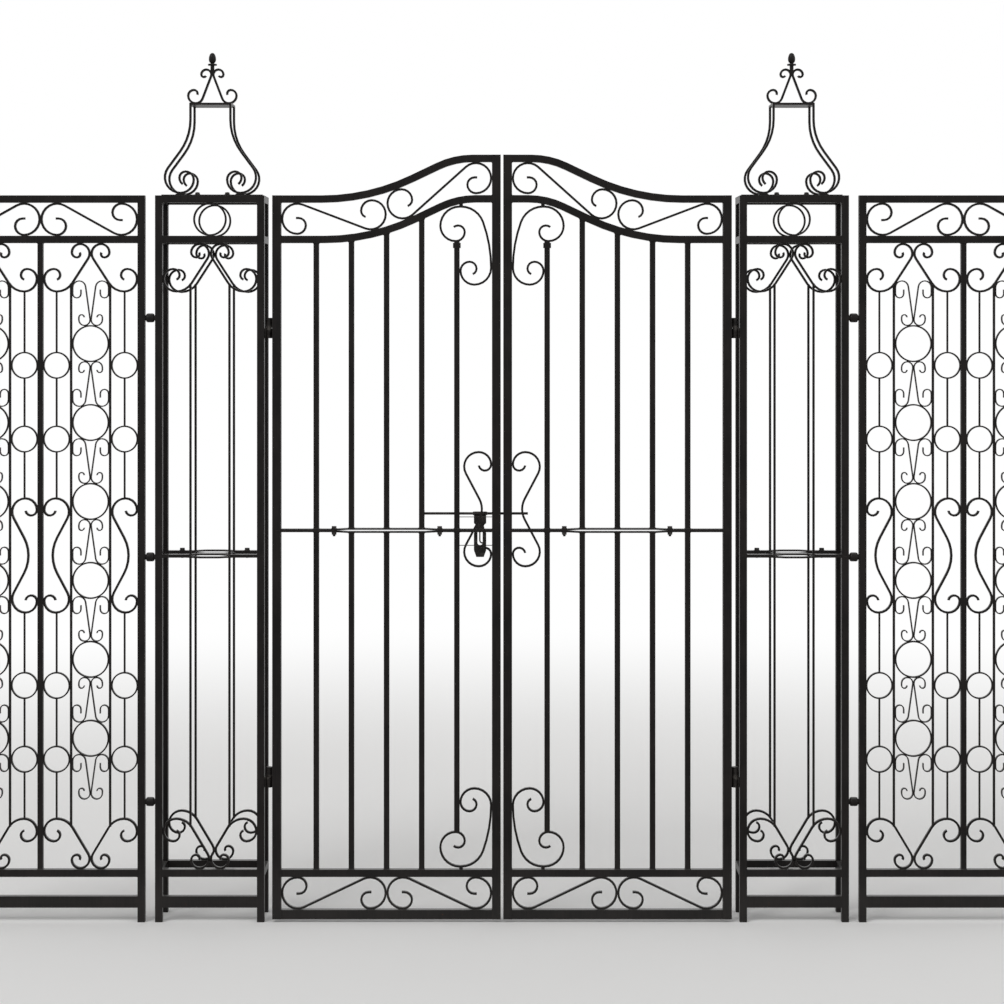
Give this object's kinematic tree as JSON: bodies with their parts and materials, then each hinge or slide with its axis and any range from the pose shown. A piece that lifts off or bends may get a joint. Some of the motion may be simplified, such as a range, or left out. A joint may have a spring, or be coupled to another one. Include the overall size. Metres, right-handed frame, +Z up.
{
  "type": "wrought iron driveway gate",
  "caption": "Two-leaf wrought iron driveway gate with a swept top, scrollwork pillars with finials, fence panels beside them and a slide bolt with a hasp.",
  "frame": {"origin": "middle of the foot of the left pillar's inner front post", "axes": "+X along the gate to the right seen from the street, +Y to the back, the side the leaves open to, +Z up"},
  "size_m": [3.113, 0.1425, 2.395],
  "materials": {
    "black_paint": "satin",
    "worn_steel": "dull"
  },
  "bodies": {
    "posts": {"left_pillar_front_top": "black_paint", "left_pillar_front_base": "black_paint", "left_pillar_back_top": "black_paint", "left_pillar_back_base": "black_paint", "left_pillar_cross_rails": "black_paint", "left_pillar_finial": "black_paint", "left_hinge_pins": "black_paint", "left_fence_panel": "black_paint", "left_fence_spacers": "black_paint", "right_pillar_front_top": "black_paint", "right_pillar_front_base": "black_paint", "right_pillar_back_top": "black_paint", "right_pillar_back_base": "black_paint", "right_pillar_cross_rails": "black_paint", "right_pillar_finial": "black_paint", "right_hinge_pins": "black_paint", "right_fence_panel": "black_paint", "right_fence_spacers": "black_paint"},
    "left_leaf": {"left_leaf_top": "black_paint", "left_leaf_base": "black_paint", "left_leaf_hinges": "black_paint", "bolt_guides": "black_paint", "guard_rods": "worn_steel", "hasp_staple": "black_paint"},
    "right_leaf": {"right_leaf_top": "black_paint", "right_leaf_base": "black_paint", "right_leaf_hinges": "black_paint"},
    "bolt": {"slide_bolt": "worn_steel"},
    "hasp_plate": {"hasp": "worn_steel"}
  },
  "joints": [
    {"name": "left_leaf_swing", "type": "hinge", "parent": "posts", "child": "left_leaf", "pos_m": [0.022, 0.005, 1], "axis": [0, 0, 1], "range_deg": [0, 90]},
    {"name": "right_leaf_swing", "type": "hinge", "parent": "posts", "child": "right_leaf", "pos_m": [1.304, 0.005, 1], "axis": [0, 0, -1], "range_deg": [0, 90]},
    {"name": "bolt_slide", "type": "slide", "parent": "left_leaf", "child": "bolt", "axis": [-1, 0, 0], "range_m": [0, 0.075]},
    {"name": "hasp_turn", "type": "hinge", "parent": "bolt", "child": "hasp_plate", "pos_m": [0.6025, 0.0175, 1.121], "axis": [1, 0, 0], "range_deg": [0, 90]}
  ]
}
